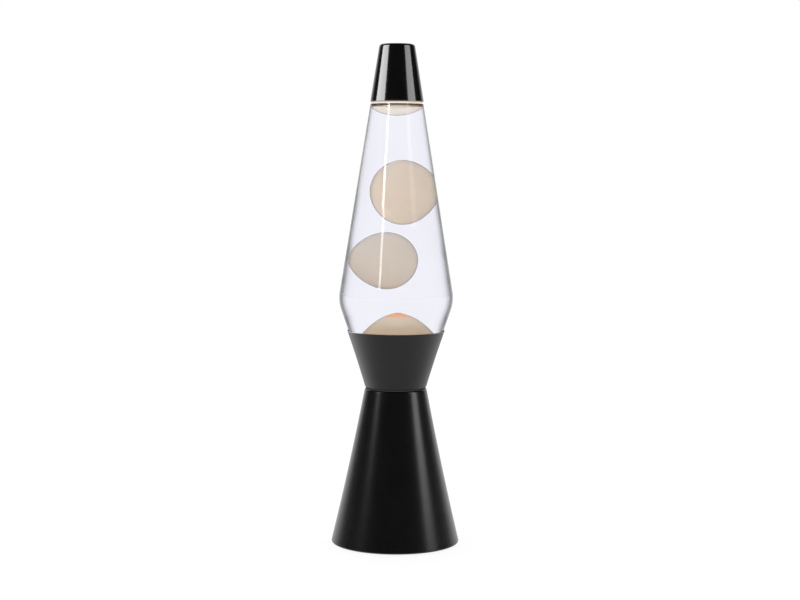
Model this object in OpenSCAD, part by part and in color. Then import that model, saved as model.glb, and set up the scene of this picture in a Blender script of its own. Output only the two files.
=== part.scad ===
// Lava lamp: a spun metal foot and cup, a glass bottle of liquid and wax that lifts out of the cup,
// a cap that lifts off the bottle, and a reflector bulb in a lampholder on a strap at the waist.
// Millimetres, +Z up. The origin is the middle of the plane that the rubber feet stand on.

/* [Foot] */
// Diameter of the foot at its lower edge
foot_d = 103.2; // [99:0.2:107]
// Height of the foot's top face above the table
foot_top_z = 125.6; // [125:0.1:125.8]
// Diameter at the waist, where the foot ends
waist_d = 49.6; // [49.4:0.1:50.4]
// How far the foot's wall curves inward halfway up, from a straight cone
foot_hollow = 0.75; // [0.3:0.05:1]
// Gap between the foot's lower edge and the table
foot_lift = 1.0; // [0.8:0.1:1.4]
// Thickness of the spun sheet metal
sheet = 0.6; // [0.5:0.1:0.8]
// Width of the folded hem at the lower edge
hem_w = 2.4; // [2:0.1:3]

/* [Cup] */
// Diameter of the cup's floor, on the outside
cup_floor_d = 49; // [48.8:0.1:49.6]
// Diameter of the cup's rim, on the outside
cup_rim_d = 78.4; // [77:0.2:80]
// Height of the rim above the table
cup_rim_z = 172.3; // [171:0.5:173.5]
// How far the cup's wall curves inward halfway up, from a straight cone
cup_hollow = 0.3; // [0.1:0.05:0.3]
// Thickness of the washer between the cup and the foot
washer_t = 1.0; // [0.8:0.1:1.2]
// Diameter of the opening at the waist that the bulb's neck passes through
waist_hole_d = 36.8; // [36.6:0.1:37]

/* [Bottle] */
// Height of the bottle's underside above the table
bottle_z = 148.5; // [148:0.5:149]
// Thickness of the glass wall
glass_t = 2.2; // [2:0.1:2.6]
// Thickness of the bottle's floor
floor_t = 5; // [4.5:0.1:5.5]
// Diameter of the shoulder just under the cap
shoulder_d = 42; // [41.6:0.1:42.2]
// Height of the shoulder above the table
shoulder_z = 353.2; // [353:0.1:353.4]
// Narrowing of the upper cone, in radius for each millimetre of height
upper_slope = 0.162; // [0.158:0.001:0.166]
// Widening of the lower cone, in radius for each millimetre of height
lower_slope = 0.345; // [0.34:0.005:0.36]
// Radius that rounds the belly
belly_round = 30; // [24:1:34]
// Diameter of the neck
neck_d = 25.8; // [25.4:0.1:26]
// Height of the bottle's lip above the table
lip_z = 385; // [384.6:0.1:385.2]
// Height of the liquid's surface above the table
level_z = 352.6; // [350.5:0.1:352.8]

/* [Wax] */
// The upper blob's reach to the left and to the right, its radius, and the x and z of its middle
upper_blob = [18.7, 22.1, 25.2, 3.4, 281.5];
// The middle blob's reach to the left and to the right, its radius, and the x and z of its middle
middle_blob = [25, 18.3, 22.2, -5.7, 227];
// Radius of the wax at the bottom where it meets the pool
mound_r = 23.6; // [22:0.2:24.4]
// How fast the wax at the bottom widens under its peak
mound_spread = 5.1; // [4.9:0.01:5.2]
// Height of the peak of the wax at the bottom above the table
mound_z = 190.5; // [189:0.5:192]
// Radius of the wax that floats at the surface
crest_r = 17.5; // [15:0.5:18]
// Depth of the wax that floats at the surface
crest_h = 10; // [7:0.5:11]

/* [Cap] */
// Height of the cap
cap_h = 45.5; // [45.3:0.1:45.7]
// Diameter of the cap's lower edge
cap_rim_d = 42.7; // [42.6:0.1:43]
// Diameter of the cap's top, before its edge is rounded
cap_top_d = 28; // [27.9:0.1:29]
// Height of the whole lamp
lamp_h = 400; // [399.8:0.1:400.4]

/* [Bulb] */
// Diameter of the reflector bulb
bulb_d = 39; // [38:0.2:39.4]
// Height of the bulb's dome above the table
bulb_top_z = 143; // [142.4:0.1:143.2]
// Height of the bulb's solder tip above the table
bulb_tip_z = 76; // [75.95:0.05:76.2]

/* [Fixings] */
// Distance of the rubber feet and the plate screws from the middle
foot_ring_r = 41; // [40.5:0.1:41.5]
// Number of rubber feet
feet = 4; // [4:1:4]
// Number of screws that hold the base plate
plate_screw_count = 3; // [3:1:3]
// Number of screws that join the cup and the foot
waist_screw_count = 4; // [4:1:4]
// Radius of the hole through the cord gland
gland_bore_r = 3.2; // [2.8:0.1:3.4]
// Height of the cord gland above the table
gland_z = 16; // [15:0.5:18]

/* [Hidden] */
$fn = 96;

cut = 1;                    // how far a cutting shape runs past what it cuts
touch = 0.05;               // gap between pieces that rest on each other
fit = 0.3;                  // gap between pieces that lift apart
film = 0.3;                 // liquid between a moving blob and the rest of the liquid
play = 0.1;                 // how much wider in radius a screw's hole is than the screw

// The foot and its cone
foot_r = foot_d / 2;
waist_r = waist_d / 2;
foot_slope = (foot_r - waist_r) / (foot_top_z - foot_lift);
hem_h = 2.6;
hem_round = 0.9;
shoulder_bend = 1.6;        // radius where the foot's wall turns into its top face
waist_hole_r = waist_hole_d / 2;

// The base plate and what holds it
plate_z = foot_lift + 0.8;
plate_t = 2.6;
plate_top_z = plate_z + plate_t;
plate_r = foot_r - hem_w - 0.3;
lug_t = 1.2;
lug_h = 11;
lug_angle = 14;
screw_turn = 45;            // where the first plate screw stands, clear of the feet
plate_recess = 1.4;         // depth of the seat for a plate screw's head
plate_screw_r = 1.5;
gland_hole_r = 5;
gland_neck_r = gland_hole_r - 0.15;
gland_depth = 6;            // how far the gland reaches into the foot

// The cup and its cone
cup_z = foot_top_z + washer_t;
cup_floor_top = cup_z + sheet;
cup_rim_r = cup_rim_d / 2;
cup_slope = (cup_rim_d - cup_floor_d) / 2 / (cup_rim_z - cup_z);

// The bottle's cones meet at the belly
shoulder_r = shoulder_d / 2;
rim_glass_r = cup_rim_r - sheet - fit;
belly_z = (shoulder_r + upper_slope * shoulder_z - rim_glass_r + lower_slope * cup_rim_z)
    / (upper_slope + lower_slope);
belly_r = lower_r(belly_z);
wall_x = glass_t * 1.04;    // the wall's thickness measured level, on a leaning wall
glass_floor_z = bottle_z + floor_t;
heel_inner = 3;             // radius inside the bottle between its floor and its wall
neck_r = neck_d / 2;
neck_bore_r = 9.2;
bead_out = 0.35;            // how far the bead at the lip stands out from the neck

// The wax: where the mound stands and how wide its foot is, and how far the blobs' tips are drawn out
mound_x = 1.2;
pool_r = 25.4;
upper_pull = [0.5, 0.62];
middle_pull = [0.8, 0.5];

// The wire on the bottle's floor
coil_ring_r = 17;
coil_wire_r = 1.45;

// The closure on the bottle's lip
crown_r = 16;
crown_h = 6;
crown_t = 0.35;
liner_t = 0.45;
crown_top_z = lip_z + touch + liner_t + touch + crown_t;

// The strap that carries the lampholder
strap_t = 1.2;
strap_w = 14;
ear_w = 10;
strap_x = 17.1;             // inside face of each leg
strap_z = 58;               // underside of the strap
ear_x = 22.9;
ear_z = foot_top_z - sheet - touch - strap_t;
waist_screw_r = 20.9;       // distance of the waist screws from the middle
waist_thread_r = 1.2;

// The lampholder, from the strap up to the bulb
holder_z = strap_z + strap_t + touch;
holder_top_z = 100.4;
socket_floor_t = 4.6;
core_z = 68.6;
core_top_z = 73;
nipple_r = 5;
thread_r = 7.1;             // inside radius of the lampholder's threaded shell
terminal_x = 5;
terminal_r = 1.4;
terminal_depth = 3;

// The bulb
bulb_r = bulb_d / 2;
bulb_cap_r = 6.85;
throat_r = 9.4;             // radius of the bulb's neck above its cap
seal_r = 6.4;               // radius of the glass inside the cap
stem_top_z = holder_top_z + 12;
filament_z = holder_top_z + 20.9;
filament_span = 10;

function lower_r(z) = rim_glass_r + lower_slope * (z - cup_rim_z);
function upper_r(z) = shoulder_r + upper_slope * (shoulder_z - z);
function foot_out_r(z) = foot_r - foot_slope * (z - foot_lift)
    - hollow(foot_hollow, (z - foot_lift) / (foot_top_z - foot_lift));
function cup_out_r(z) = cup_rim_r - cup_slope * (cup_rim_z - z)
    - hollow(cup_hollow, (z - cup_z) / (cup_rim_z - cup_z));

// The inward curve of a wall at the share t of its height, deepest halfway up
function hollow(depth, t) = 4 * depth * t * (1 - t);

// The lean of the foot's wall from the vertical at height z
function foot_lean(z) = atan(foot_out_r(z - 0.5) - foot_out_r(z + 0.5));

// Points along a curved wall from the height z0 to z1, moved inward by inset
function wall(radius_at, z0, z1, inset = 0, steps = 12) =
    [for (i = [0:steps]) let (z = z0 + (z1 - z0) * i / steps) [radius_at(z) - inset, z]];

// A unit vector along v
function unit(v) = v / norm(v);

// An arc of radius r that rounds the corner at b between the lines to a and to c
function corner(a, b, c, r, n) =
    let (u = unit(a - b), v = unit(c - b), half = acos(u * v) / 2,
         middle = b + unit(u + v) * r / sin(half),
         from = b + u * r / tan(half) - middle,
         to = b + v * r / tan(half) - middle,
         start = atan2(from[1], from[0]),
         turn = atan2(cross(from, to), from * to))
    [for (i = [0:n]) middle + r * [cos(start + turn * i / n), sin(start + turn * i / n)]];

// An outline of [x, z, rounding] corners, where a missing rounding leaves the corner sharp
function soft(path, n) =
    [for (i = [0:len(path) - 1])
        let (at = function (k) [path[k % len(path)][0], path[k % len(path)][1]])
        each len(path[i]) > 2
            ? corner(at(i + len(path) - 1), at(i), at(i + 1), path[i][2], n)
            : [at(i)]];

// A solid turned about Z from such an outline
module turned(path, n = 6) {
    rotate_extrude() polygon(soft(path, n));
}

// A tube along Z from z0 to z1
module tube(outer, inner, z0, z1) {
    difference() {
        translate([0, 0, z0]) cylinder(r = outer, h = z1 - z0);
        translate([0, 0, z0 - cut]) cylinder(r = inner, h = z1 - z0 + 2 * cut);
    }
}

// Copies of the children around Z
module ring(count, start = 0) {
    for (i = [0:count - 1]) rotate(start + i * 360 / count) children();
}

// Places the children on the back of the foot, with their +Z along the wall's outward normal
module on_back_wall() {
    translate([0, foot_out_r(gland_z), gland_z]) rotate([foot_lean(gland_z) - 90, 0, 0]) children();
}

// The holes for the waist screws, through whatever lies between z0 and z1
module waist_holes(z0, z1) {
    ring(waist_screw_count)
        translate([waist_screw_r, 0, z0]) cylinder(r = waist_thread_r + play, h = z1 - z0);
}

// A cross slot in a screw's head, cut upward from z
module cross_slot(length, width, z) {
    for (turn = [0, 90]) rotate(turn)
        translate([-length / 2, -width / 2, z]) cube([length, width, 2]);
}

// A hexagonal nut with its underside at z
module nut(across_flats, height, bore_r, z) {
    translate([0, 0, z])
        difference() {
            rotate(30) cylinder(r = across_flats / sqrt(3), h = height, $fn = 6);
            translate([0, 0, -cut]) cylinder(r = bore_r, h = height + 2 * cut);
        }
}

// ---- The foot and the cup ----

module foot_shell() {
    hem_top = foot_lift + hem_h;
    ceiling_z = foot_top_z - sheet;
    color([0.03, 0.03, 0.03])
    difference() {
        turned(concat(
            [[waist_hole_r, ceiling_z],
                [waist_hole_r, foot_top_z],
                [waist_r, foot_top_z, shoulder_bend]],
            wall(function (z) foot_out_r(z), foot_top_z - 4, foot_lift + 2),
            [[foot_r, foot_lift, hem_round],
                [foot_r - hem_w, foot_lift, hem_round],
                [foot_r - hem_w, hem_top, hem_round / 2]],
            wall(function (z) foot_out_r(z), hem_top, foot_top_z - 4, sheet),
            [[waist_r - sheet, ceiling_z, shoulder_bend - sheet]]));
        on_back_wall() translate([0, 0, -gland_depth]) cylinder(r = gland_hole_r, h = 2 * gland_depth);
        waist_holes(ceiling_z - cut, foot_top_z + cut);
    }
}

module cup_shell() {
    floor_r = cup_floor_d / 2;
    floor_bend = 1.2;
    lip_round = 0.3;
    color([0.08, 0.08, 0.085])
    difference() {
        turned(concat(
            [[waist_hole_r, cup_z],
                [floor_r, cup_z, floor_bend]],
            wall(function (z) cup_out_r(z), cup_z + 3, cup_rim_z - 2),
            [[cup_rim_r, cup_rim_z, lip_round],
                [cup_rim_r - sheet, cup_rim_z, lip_round]],
            wall(function (z) cup_out_r(z), cup_rim_z - 2, cup_z + 3, sheet),
            [[floor_r - sheet + cup_slope * sheet, cup_floor_top, floor_bend - sheet],
                [waist_hole_r, cup_floor_top]]));
        waist_holes(cup_z - cut, cup_floor_top + cut);
    }
}

module waist_washer() {
    recess = 0.7;
    color([0.02, 0.02, 0.02])
    difference() {
        tube(waist_r - recess, waist_hole_r + fit, foot_top_z + touch, cup_z - touch);
        waist_holes(foot_top_z, cup_z);
    }
}

// ---- The base plate, its lugs, screws and feet, and the cord gland ----

module base_plate() {
    vent_r = [24, 15];
    vent_w = 4;
    vent_count = 6;
    vent_angle = 34;
    head_hole_r = 3.1;
    color([0.05, 0.05, 0.05])
    difference() {
        turned([
            [0, plate_z],
            [plate_r, plate_z, 0.6],
            [plate_r, plate_top_z, 0.4],
            [0, plate_top_z]]);
        for (row = [0:1])
            ring(vent_count, row * 180 / vent_count)
                translate([0, 0, plate_z - cut])
                    rotate_extrude(angle = vent_angle)
                        translate([vent_r[row], 0]) square([vent_w, plate_t + 2 * cut]);
        ring(plate_screw_count, screw_turn) translate([foot_ring_r, 0, plate_z - cut]) {
            cylinder(r = plate_screw_r + 2 * play, h = plate_t + 2 * cut);
            cylinder(r = head_hole_r, h = plate_recess + cut);
        }
    }
}

// Bent tabs inside the foot that take the plate screws
module plate_lugs() {
    low = plate_top_z + touch;
    high = low + lug_h;
    function wall_r(z) = foot_out_r(z) - sheet - 0.2;
    color([0.7, 0.7, 0.7])
    ring(plate_screw_count, screw_turn)
        difference() {
            rotate(-lug_angle / 2)
                rotate_extrude(angle = lug_angle)
                    polygon([
                        [foot_ring_r - 4, low],
                        [wall_r(low), low],
                        [wall_r(high), high],
                        [wall_r(high) - lug_t, high],
                        [wall_r(low + lug_t) - lug_t, low + lug_t],
                        [foot_ring_r - 4, low + lug_t]]);
            translate([foot_ring_r, 0, low - cut])
                cylinder(r = plate_screw_r + touch, h = lug_t + 2 * cut);
        }
}

module plate_screws() {
    head_r = 2.8;
    head_z = plate_z - 0.4;
    head_top = plate_z + plate_recess - touch;
    tip_z = head_top + 5;
    color([0.55, 0.55, 0.55])
    ring(plate_screw_count, screw_turn) translate([foot_ring_r, 0, 0])
        difference() {
            turned([[0, head_z], [head_r, head_z, 0.6], [head_r, head_top],
                [plate_screw_r, head_top], [plate_screw_r, tip_z], [0, tip_z]]);
            mirror([0, 0, 1]) cross_slot(3.6, 0.7, -head_z - 0.9);
        }
}

module rubber_feet() {
    pad_r = 5;
    pad_flare = 0.6;
    color([0.06, 0.06, 0.06])
    ring(feet) translate([foot_ring_r, 0, 0])
        turned([[0, 0], [pad_r, 0], [pad_r + pad_flare, plate_z - touch], [0, plate_z - touch]]);
}

// A snap-in bush: a flange outside the wall, and a barb that holds it from inside
module cord_gland() {
    flange_r = 6.4;
    flange_t = 1.5;
    barb_r = 5.5;
    barb_z = -sheet - 0.6;
    color([0.04, 0.04, 0.04])
    on_back_wall()
        turned([
            [gland_bore_r, -gland_depth],
            [gland_neck_r - 0.3, -gland_depth, 0.3],
            [barb_r, barb_z],
            [gland_neck_r, barb_z],
            [gland_neck_r, touch],
            [flange_r, touch],
            [flange_r, flange_t, 0.6],
            [gland_bore_r, flange_t, 0.4]]);
}

// ---- The strap, the waist fixings and the lampholder ----

module holder_bridge() {
    color([0.72, 0.72, 0.7])
    difference() {
        union() {
            translate([-strap_x - strap_t, -strap_w / 2, strap_z])
                cube([2 * (strap_x + strap_t), strap_w, strap_t]);
            for (side = [0, 1]) mirror([side, 0, 0]) {
                translate([strap_x, -strap_w / 2, strap_z])
                    cube([strap_t, strap_w, ear_z + strap_t - strap_z]);
                translate([strap_x, -ear_w / 2, ear_z])
                    cube([ear_x - strap_x, ear_w, strap_t]);
            }
        }
        translate([0, 0, strap_z - cut]) cylinder(r = nipple_r + play, h = strap_t + 2 * cut);
        waist_holes(ear_z - cut, ear_z + strap_t + cut);
    }
}

module waist_screws() {
    head_z = cup_floor_top + touch;
    head_r = 2.25;
    head_h = 1.6;
    tip_z = head_z - 9;
    color([0.75, 0.75, 0.75])
    ring(waist_screw_count) translate([waist_screw_r, 0, 0])
        difference() {
            turned([[0, tip_z], [waist_thread_r, tip_z], [waist_thread_r, head_z],
                [head_r, head_z], [head_r, head_z + head_h, 0.8], [0, head_z + head_h]]);
            cross_slot(2.9, 0.6, head_z + head_h / 2);
        }
}

// Two nuts lie under the strap's ears, and two straight under the foot's top face
module waist_nuts() {
    nut_h = 2;
    across_flats = 5;
    color([0.75, 0.75, 0.75])
    for (i = [0:waist_screw_count - 1]) {
        seat_z = i % 2 == 0 ? ear_z : foot_top_z - sheet;
        rotate(i * 360 / waist_screw_count) translate([waist_screw_r, 0, 0])
            nut(across_flats, nut_h, waist_thread_r + touch, seat_z - touch - nut_h);
    }
}

module holder_nipple() {
    bore_r = 3.7;
    below = 7;
    color([0.8, 0.7, 0.4]) tube(nipple_r, bore_r, strap_z - below, holder_z + socket_floor_t - play);
}

module nipple_nut() {
    nut_h = 3;
    across_flats = 14;
    color([0.75, 0.75, 0.75])
    nut(across_flats, nut_h, nipple_r + touch, strap_z - touch - nut_h);
}

module holder_skirt() {
    outer_r = 11.6;
    mouth_r = 10.3;
    waist_in_r = 8;
    base_r = 8.6;
    color([0.04, 0.04, 0.04])
    turned([
        [nipple_r + touch, holder_z],
        [base_r, holder_z, 0.8],
        [outer_r, holder_z + 8, 3],
        [outer_r, holder_top_z, 0.5],
        [mouth_r, holder_top_z, 0.3],
        [mouth_r, core_z - touch],
        [waist_in_r, core_z - touch],
        [waist_in_r, holder_z + socket_floor_t, 0.8],
        [nipple_r + touch, holder_z + socket_floor_t]]);
}

module holder_core() {
    core_r = 10.1;
    color([0.85, 0.83, 0.78])
    difference() {
        translate([0, 0, core_z]) cylinder(r = core_r, h = core_top_z - core_z);
        for (side = [-1, 1])
            translate([side * terminal_x, 0, core_z - cut])
                cylinder(r = terminal_r + play, h = terminal_depth + cut);
    }
}

module holder_shell() {
    low = core_top_z + touch;
    high = holder_top_z - 2;
    flange_r = 9.6;
    wall = 0.4;
    color([0.8, 0.68, 0.35])
    turned([[thread_r, low], [flange_r, low], [flange_r, low + wall], [thread_r + wall, low + wall],
        [thread_r + wall, high], [thread_r, high]]);
}

module terminal_screws() {
    head_r = 2;
    head_h = 2;
    tip_z = core_z + terminal_depth - play;
    color([0.8, 0.7, 0.4])
    for (side = [-1, 1]) translate([side * terminal_x, 0, 0])
        turned([[0, core_z - head_h], [head_r, core_z - head_h, 0.4], [head_r, core_z - touch],
            [terminal_r, core_z - touch], [terminal_r, tip_z], [0, tip_z]]);
}

// A spring tongue with a dimple that presses on the bulb's solder tip
module holder_contact() {
    tongue = [10, 3, 0.4];
    dimple_r = 1.4;
    low = bulb_tip_z - 1.2;
    color([0.8, 0.68, 0.35]) {
        translate([-tongue[0] / 2, -tongue[1] / 2, low]) cube(tongue);
        translate([0, 0, low]) cylinder(r = dimple_r, h = bulb_tip_z - touch - low);
    }
}

// ---- The bulb ----

module bulb_envelope() {
    glass = 0.7;
    throat_z = bulb_top_z - 38;
    color([0.9, 0.9, 0.92, 0.6])
    turned([
        [0, bulb_top_z],
        [bulb_r - 3, bulb_top_z - 2.2, 10],
        [bulb_r, bulb_top_z - 11, 4],
        [throat_r, throat_z, 14],
        [throat_r - 0.2, holder_top_z + 1.5, 1.5],
        [seal_r, holder_top_z + 0.4, 0.5],
        [seal_r, holder_top_z - 6],
        [seal_r - glass, holder_top_z - 6],
        [seal_r - glass, holder_top_z + 0.9, 0.5],
        [throat_r - 0.2 - glass, holder_top_z + 2.1, 0.8],
        [throat_r - glass, throat_z, 14],
        [bulb_r - glass, bulb_top_z - 11.1, 3.4],
        [bulb_r - 3.1 - glass / 2, bulb_top_z - 2.2 - glass, 9.3],
        [0, bulb_top_z - glass]], 8);
}

module bulb_cap() {
    wall = 0.35;
    color([0.78, 0.78, 0.76])
    tube(bulb_cap_r, bulb_cap_r - wall, bulb_tip_z + 4, holder_top_z);
}

module bulb_insulator() {
    low = bulb_tip_z + 1.2;
    high = bulb_tip_z + 6;
    plug_r = bulb_cap_r - 0.55;
    color([0.1, 0.1, 0.12])
    turned([[0, low], [plug_r - 2.5, low, 0.5], [plug_r, bulb_tip_z + 4], [plug_r, high], [0, high]]);
}

module bulb_tip() {
    pad_r = 2.4;
    high = bulb_tip_z + 1.15;
    color([0.7, 0.7, 0.7])
    turned([[0, bulb_tip_z], [pad_r, bulb_tip_z, 0.8], [pad_r, high], [0, high]]);
}

module bulb_stem() {
    low = holder_top_z - 8;
    stem_r = 2.6;
    press_r = 1.4;
    color([0.9, 0.92, 0.95, 0.5])
    turned([[0, low], [seal_r - 1, low], [seal_r - 1, low + 1.5, 0.5], [stem_r, low + 5, 2],
        [stem_r, stem_top_z - 5], [press_r, stem_top_z, 0.8], [0, stem_top_z]]);
}

module bulb_leads() {
    lead_r = 0.3;
    lean = atan(3.75 / (filament_z - stem_top_z));
    reach = norm([3.75, filament_z - stem_top_z]) - 0.6;
    color([0.75, 0.75, 0.75])
    for (side = [0, 1]) mirror([side, 0, 0])
        translate([filament_span / 2 - 3, 0, stem_top_z - 1])
            rotate([0, lean, 0]) cylinder(r = lead_r, h = reach, $fn = 16);
}

module bulb_filament() {
    coil_r = 0.45;
    color([1, 0.8, 0.4])
    translate([-filament_span / 2, 0, filament_z]) rotate([0, 90, 0])
        cylinder(r = coil_r, h = filament_span, $fn = 16);
}

// ---- The bottle and what it holds ----

module bottle() {
    punt_r = 20;
    punt_h = 2.4;
    heel_w = 7;
    heel_round = 2.6;
    step_w = 2.4;
    step_h = 1.5;
    neck_foot_z = shoulder_z + 16;
    bead_h = 5.4;
    color([0.92, 0.95, 0.98, 0.35])
    turned([
        [0, bottle_z + punt_h],
        [punt_r, bottle_z + punt_h * 0.75, 12],
        [lower_r(bottle_z) - heel_w, bottle_z, heel_round],
        [lower_r(bottle_z), bottle_z, heel_round],
        [belly_r, belly_z, belly_round],
        [shoulder_r, shoulder_z, 1.2],
        [shoulder_r - step_w, shoulder_z + step_h, 1],
        [neck_r, neck_foot_z, 8],
        [neck_r, lip_z - bead_h - bead_out],
        [neck_r + bead_out, lip_z - bead_h],
        [neck_r + bead_out, lip_z, 1],
        [neck_bore_r, lip_z, 0.8],
        [neck_bore_r, neck_foot_z - 3, 6],
        [shoulder_r - wall_x, shoulder_z, 3],
        [belly_r - wall_x, belly_z, belly_round - glass_t],
        [lower_r(glass_floor_z) - wall_x, glass_floor_z, heel_inner],
        [0, glass_floor_z]], 12);
}

// A drop of wax turned about a line along X, from its [left, right, radius, x, z], each surface grown outward by grow.
// pull draws its left and its right end out: 0.5 is round, and more is pointed.
module blob(shape, pull, grow = 0) {
    steps = 14;
    function half(reach, power, side) =
        [for (i = [0:steps]) let (s = sin(90 * i / steps))
            [(shape[2] + grow) * pow(max(0, 1 - s * s), power), side * (reach + grow) * s]];
    left = half(shape[0], pull[0], -1);
    right = half(shape[1], pull[1], 1);
    translate([shape[3], 0, shape[4]])
        rotate([0, 90, 0])
            rotate_extrude()
                polygon(concat([for (i = [steps:-1:0]) left[i]], [for (i = [1:steps]) right[i]]));
}

// The pool of wax on the bottle's floor, swelling up into a dome
module mound_shape() {
    steps = 16;
    pool_h = 1.6;
    translate([mound_x, 0, 0])
        rotate_extrude()
            polygon(concat(
                [[0, glass_floor_z + touch], [pool_r, glass_floor_z + touch],
                    [pool_r - 0.6, glass_floor_z + pool_h]],
                [for (i = [0:steps]) let (r = mound_r * (1 - i / steps))
                    [r, mound_z - pow(r / mound_spread, 2)]]));
}

// The ring of wire that spreads the heat, buried in the pool
module coil_shape(wire_r) {
    translate([mound_x, 0, glass_floor_z + 1.9])
        rotate_extrude() translate([coil_ring_r, 0]) circle(r = wire_r, $fn = 24);
}

// A lens of wax that hangs from the liquid's surface
module crest_shape() {
    edge_h = 1;
    steps = 10;
    lens_h = crest_h - edge_h;
    lens_r = (crest_r * crest_r + lens_h * lens_h) / (2 * lens_h);
    sweep = asin(crest_r / lens_r);
    lens_z = level_z - crest_h + lens_r;
    rotate_extrude()
        polygon(concat(
            [for (i = [0:steps]) let (a = sweep * i / steps)
                [lens_r * sin(a), lens_z - lens_r * cos(a)]],
            [[crest_r, level_z], [0, level_z]]));
}

module liquid() {
    side = wall_x + touch;
    color([0.95, 0.95, 1, 0.25])
    difference() {
        turned([
            [0, glass_floor_z + touch],
            [lower_r(glass_floor_z) - side, glass_floor_z + touch, heel_inner],
            [belly_r - side, belly_z, belly_round - glass_t],
            [upper_r(level_z) - side, level_z],
            [0, level_z]], 12);
        blob(upper_blob, upper_pull, film);
        blob(middle_blob, middle_pull, film);
        mound_shape();
        crest_shape();
    }
}

module wax_mound() {
    color([0.9, 0.82, 0.7])
    difference() {
        mound_shape();
        coil_shape(coil_wire_r + touch);
    }
}

module wax_crest() {
    color([0.93, 0.88, 0.8]) crest_shape();
}

module wire_coil() {
    color([0.7, 0.7, 0.7]) coil_shape(coil_wire_r);
}

module upper_wax() {
    color([0.9, 0.84, 0.74]) blob(upper_blob, upper_pull);
}

module middle_wax() {
    color([0.88, 0.82, 0.73]) blob(middle_blob, middle_pull);
}

module crown_liner() {
    color([0.8, 0.8, 0.82])
    translate([0, 0, lip_z + touch]) cylinder(r = neck_r - bead_out, h = liner_t);
}

module crown_closure() {
    skirt_z = crown_top_z - crown_h;
    top_r = crown_r - 1.8;
    bend = 1.7;
    color([0.8, 0.8, 0.8])
    turned([
        [0, crown_top_z],
        [top_r, crown_top_z, bend],
        [crown_r, skirt_z],
        [crown_r - crown_t, skirt_z],
        [top_r - crown_t, crown_top_z - crown_t, bend - crown_t],
        [0, crown_top_z - crown_t]]);
}

// ---- The cap ----

module cap() {
    cap_z = lamp_h - cap_h;
    top_round = 2.6;
    lip_round = 0.3;
    color([0.02, 0.02, 0.02])
    turned([
        [0, lamp_h],
        [cap_top_d / 2, lamp_h, top_round],
        [cap_rim_d / 2, cap_z, lip_round],
        [cap_rim_d / 2 - sheet, cap_z, lip_round],
        [cap_top_d / 2 - sheet, lamp_h - sheet, top_round - sheet],
        [0, lamp_h - sheet]]);
}

foot_shell();
cup_shell();
waist_washer();
base_plate();
plate_lugs();
plate_screws();
rubber_feet();
cord_gland();
holder_bridge();
waist_screws();
waist_nuts();
holder_nipple();
nipple_nut();
holder_skirt();
holder_core();
holder_shell();
terminal_screws();
holder_contact();
bulb_envelope();
bulb_cap();
bulb_insulator();
bulb_tip();
bulb_stem();
bulb_leads();
bulb_filament();
bottle();
liquid();
wax_mound();
wax_crest();
wire_coil();
crown_closure();
crown_liner();
upper_wax();
middle_wax();
cap();
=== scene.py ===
import math

import bpy
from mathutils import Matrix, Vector


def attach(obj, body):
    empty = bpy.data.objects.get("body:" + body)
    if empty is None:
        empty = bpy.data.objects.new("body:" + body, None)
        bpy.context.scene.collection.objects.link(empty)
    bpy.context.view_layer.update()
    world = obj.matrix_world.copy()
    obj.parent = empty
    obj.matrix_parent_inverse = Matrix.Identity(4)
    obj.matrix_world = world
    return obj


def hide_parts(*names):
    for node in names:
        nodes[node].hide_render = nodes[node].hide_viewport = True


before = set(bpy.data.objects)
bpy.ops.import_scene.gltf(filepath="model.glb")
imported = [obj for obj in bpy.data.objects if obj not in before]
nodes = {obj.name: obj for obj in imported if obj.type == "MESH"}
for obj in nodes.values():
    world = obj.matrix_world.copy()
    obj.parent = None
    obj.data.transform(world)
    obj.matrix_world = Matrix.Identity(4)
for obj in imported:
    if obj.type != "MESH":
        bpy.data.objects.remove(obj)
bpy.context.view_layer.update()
scene = bpy.context.scene
scene.view_settings.view_transform = "Standard"

MM = 0.001
ROUND = 2 * math.pi

# The camera: metres, degrees and millimetres of lens
CAMERA_PLACE, CAMERA_DOWN, CAMERA_ROLL, CAMERA_LENS = (0.0026, -1.372, 0.311), 4.767, -0.27, 77.28
LIGHT_DISTANCE = 1.2

# The studio, as what each kind of ray sees
GLOSS_FRONT, GLOSS_BACK = 0.02, 1.0
MATT_LOW, MATT_HIGH = 1.0, 1.3
MATT_LEFT, MATT_RIGHT = 1.05, 0.8
INNER_LOW, INNER_HIGH = 1.0, 1.15
FLOOR_HALF, FLOOR_SHINE = 8, 0.885


# ---- Camera, light and floor ----

def make_camera():
    data = bpy.data.cameras.new("camera")
    data.sensor_width = 36
    data.lens = CAMERA_LENS
    data.clip_start, data.clip_end = 0.05, 60
    camera = bpy.data.objects.new("camera", data)
    camera.location = CAMERA_PLACE
    camera.rotation_euler = (math.radians(90 - CAMERA_DOWN), math.radians(CAMERA_ROLL), 0)
    scene.collection.objects.link(camera)
    scene.camera = camera


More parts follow.
